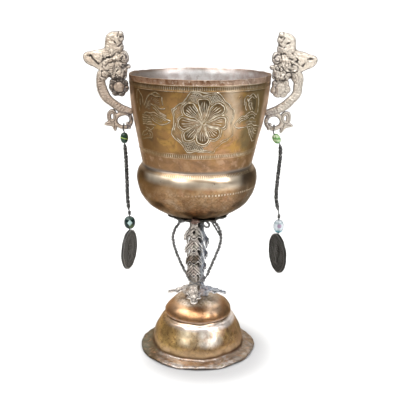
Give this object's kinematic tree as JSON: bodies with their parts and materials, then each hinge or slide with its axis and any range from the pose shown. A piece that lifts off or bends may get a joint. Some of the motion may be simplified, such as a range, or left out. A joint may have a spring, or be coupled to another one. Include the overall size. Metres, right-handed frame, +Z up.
{
  "type": "two-handled chalice",
  "caption": "Standing cup with an engraved flared bowl, leafy cast stem with wire bows, hollow domed foot, dragon handles and a hanging bead-and-coin pendant under each handle.",
  "frame": {"origin": "on the ground under the middle of the rim, at the centre of the foot's ring", "axes": "+Z up; X runs through the two handles, +X towards the right handle; +Y away from the front engraved rosette"},
  "size_m": [0.202, 0.122, 0.2898],
  "materials": {
    "bowl_brass": "engraved, worn satin polish with dark patina in the cuts",
    "foot_copper": "copper-coloured, mottled satin, dented",
    "calyx_dark": "blackened, matt",
    "calyx_copper": "tarnished satin",
    "stem_pewter": "cast white metal, worn, dark recesses",
    "bow_wire": "twisted wire, dark satin",
    "handle_cast": "cast silvery metal, worn, dark recesses",
    "pendant_wire": "twisted wire, blackened",
    "bead_green": "dark green glass, polished",
    "bead_teal": "dark teal glass, polished",
    "bead_bright_green": "swirled green and white glass, polished",
    "bead_clear": "clear glass with a coloured core",
    "coin_silver": "worn silver coin, dark patina"
  },
  "bodies": {
    "root": {"bowl": "bowl_brass", "foot": "foot_copper", "calyx_plate": "calyx_dark", "calyx_rivet": "calyx_copper", "stem_strip_front": "stem_pewter", "stem_strip_right": "stem_pewter", "stem_strip_back": "stem_pewter", "stem_strip_left": "stem_pewter", "wire_bow_left": "bow_wire", "wire_bow_right": "bow_wire", "handle_left": "handle_cast", "handle_right": "handle_cast", "pendant_wire_left": "pendant_wire", "pendant_wire_right": "pendant_wire", "bead_upper_left": "bead_green", "bead_lower_left": "bead_teal", "bead_upper_right": "bead_bright_green", "bead_lower_right": "bead_clear", "coin_left": "coin_silver", "coin_right": "coin_silver"}
  },
  "joints": []
}
